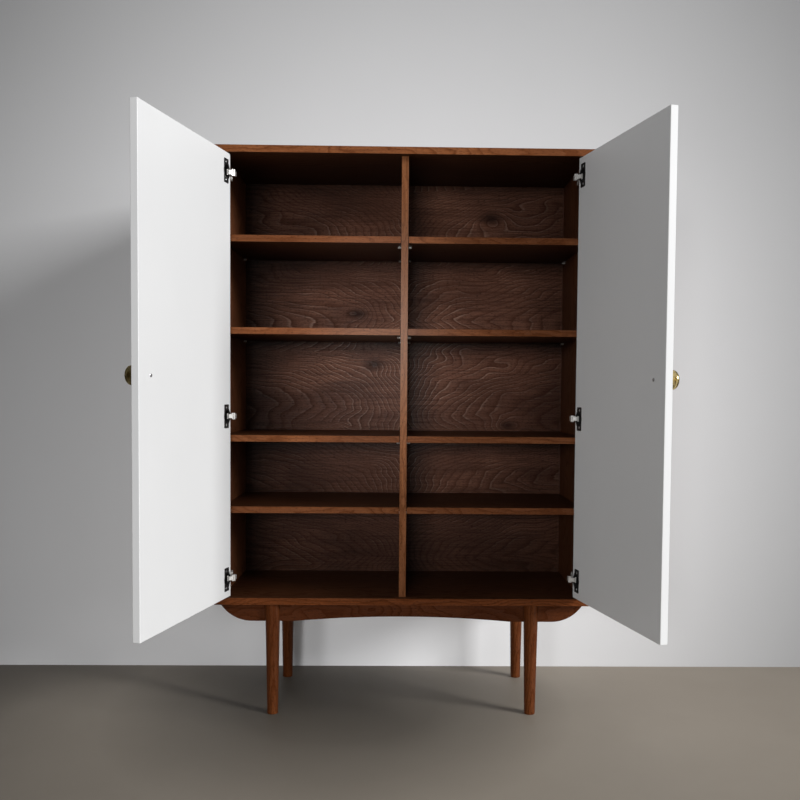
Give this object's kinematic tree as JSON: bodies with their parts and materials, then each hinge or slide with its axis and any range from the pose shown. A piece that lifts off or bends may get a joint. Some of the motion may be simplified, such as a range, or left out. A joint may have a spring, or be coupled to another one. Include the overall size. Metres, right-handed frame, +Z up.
{
  "type": "highboard",
  "caption": "Tall two-door cabinet on turned legs: dark wood carcass with inset light doors on cup hinges, domed metal knobs and shelves on both sides of a centre divider.",
  "frame": {"origin": "on the floor, at the middle of the bounding box of the cabinet with both doors open as stored", "axes": "+Z up, +X to the right seen from the front, the cabinet's front faces -Y"},
  "size_m": [1.2222, 0.8322, 1.51],
  "materials": {
    "walnut_board": "satin lacquered veneer",
    "walnut_back": "satin lacquered veneer",
    "walnut_solid": "satin lacquer",
    "white_paint": "smooth satin paint",
    "brass": "polished and lightly aged",
    "black_metal": "satin black",
    "hinge_steel": "nickel plated",
    "peg_steel": "nickel plated",
    "zinc_screw": "zinc plated",
    "beech": "plain, unseen"
  },
  "bodies": {
    "carcass": {"back_panel": "walnut_back", "back_panel_screws": "zinc_screw", "bottom_panel": "walnut_board", "centre_divider": "walnut_board", "divider_dowels": "beech", "front_apron": "walnut_solid", "hinge_arm_left_bottom": "hinge_steel", "hinge_arm_left_middle": "hinge_steel", "hinge_arm_left_top": "hinge_steel", "hinge_arm_right_bottom": "hinge_steel", "hinge_arm_right_middle": "hinge_steel", "hinge_arm_right_top": "hinge_steel", "hinge_arm_screws": "zinc_screw", "hinge_pins": "hinge_steel", "hinge_plate_screws": "zinc_screw", "hinge_plates_left": "hinge_steel", "hinge_plates_right": "hinge_steel", "leg_back_left": "walnut_solid", "leg_back_right": "walnut_solid", "leg_front_left": "walnut_solid", "leg_front_right": "walnut_solid", "leg_screws": "zinc_screw", "rail_dowels": "beech", "rail_screws": "zinc_screw", "rear_apron": "walnut_solid", "shelf_left_1": "walnut_board", "shelf_left_2": "walnut_board", "shelf_left_3": "walnut_board", "shelf_left_4": "walnut_board", "shelf_pegs": "peg_steel", "shelf_right_1": "walnut_board", "shelf_right_2": "walnut_board", "shelf_right_3": "walnut_board", "shelf_right_4": "walnut_board", "side_panel_left": "walnut_board", "side_panel_right": "walnut_board", "side_rail_left": "walnut_solid", "side_rail_right": "walnut_solid", "top_panel": "walnut_board"},
    "door_left": {"cup_screws_left": "zinc_screw", "door_left": "white_paint", "hinge_cup_left_bottom": "black_metal", "hinge_cup_left_middle": "black_metal", "hinge_cup_left_top": "black_metal", "knob_left": "brass", "knob_screw_left": "zinc_screw"},
    "links_left": {"hinge_link_left_bottom": "hinge_steel", "hinge_link_left_middle": "hinge_steel", "hinge_link_left_top": "hinge_steel"},
    "door_right": {"cup_screws_right": "zinc_screw", "door_right": "white_paint", "hinge_cup_right_bottom": "black_metal", "hinge_cup_right_middle": "black_metal", "hinge_cup_right_top": "black_metal", "knob_right": "brass", "knob_screw_right": "zinc_screw"},
    "links_right": {"hinge_link_right_bottom": "hinge_steel", "hinge_link_right_middle": "hinge_steel", "hinge_link_right_top": "hinge_steel"}
  },
  "joints": [
    {"name": "door_left_hinge", "type": "hinge", "parent": "carcass", "child": "door_left", "pos_m": [-0.4705, 0.04308, 0.905], "axis": [0, 0, -1], "range_deg": [-103, 5]},
    {"name": "door_right_hinge", "type": "hinge", "parent": "carcass", "child": "door_right", "pos_m": [0.4705, 0.04308, 0.905], "axis": [0, 0, 1], "range_deg": [-103, 5]},
    {"name": "links_left_pivot", "type": "hinge", "parent": "carcass", "child": "links_left", "pos_m": [-0.4486, 0.04708, 0.905], "axis": [0, 0, -1], "range_deg": [-2, 35.2]},
    {"name": "links_right_pivot", "type": "hinge", "parent": "carcass", "child": "links_right", "pos_m": [0.4486, 0.04708, 0.905], "axis": [0, 0, 1], "range_deg": [-2, 35.2]}
  ],
  "couplings": [
    {"joint": "links_left_pivot", "follows": "door_left_hinge", "ratio": -0.338},
    {"joint": "links_right_pivot", "follows": "door_right_hinge", "ratio": -0.338}
  ]
}
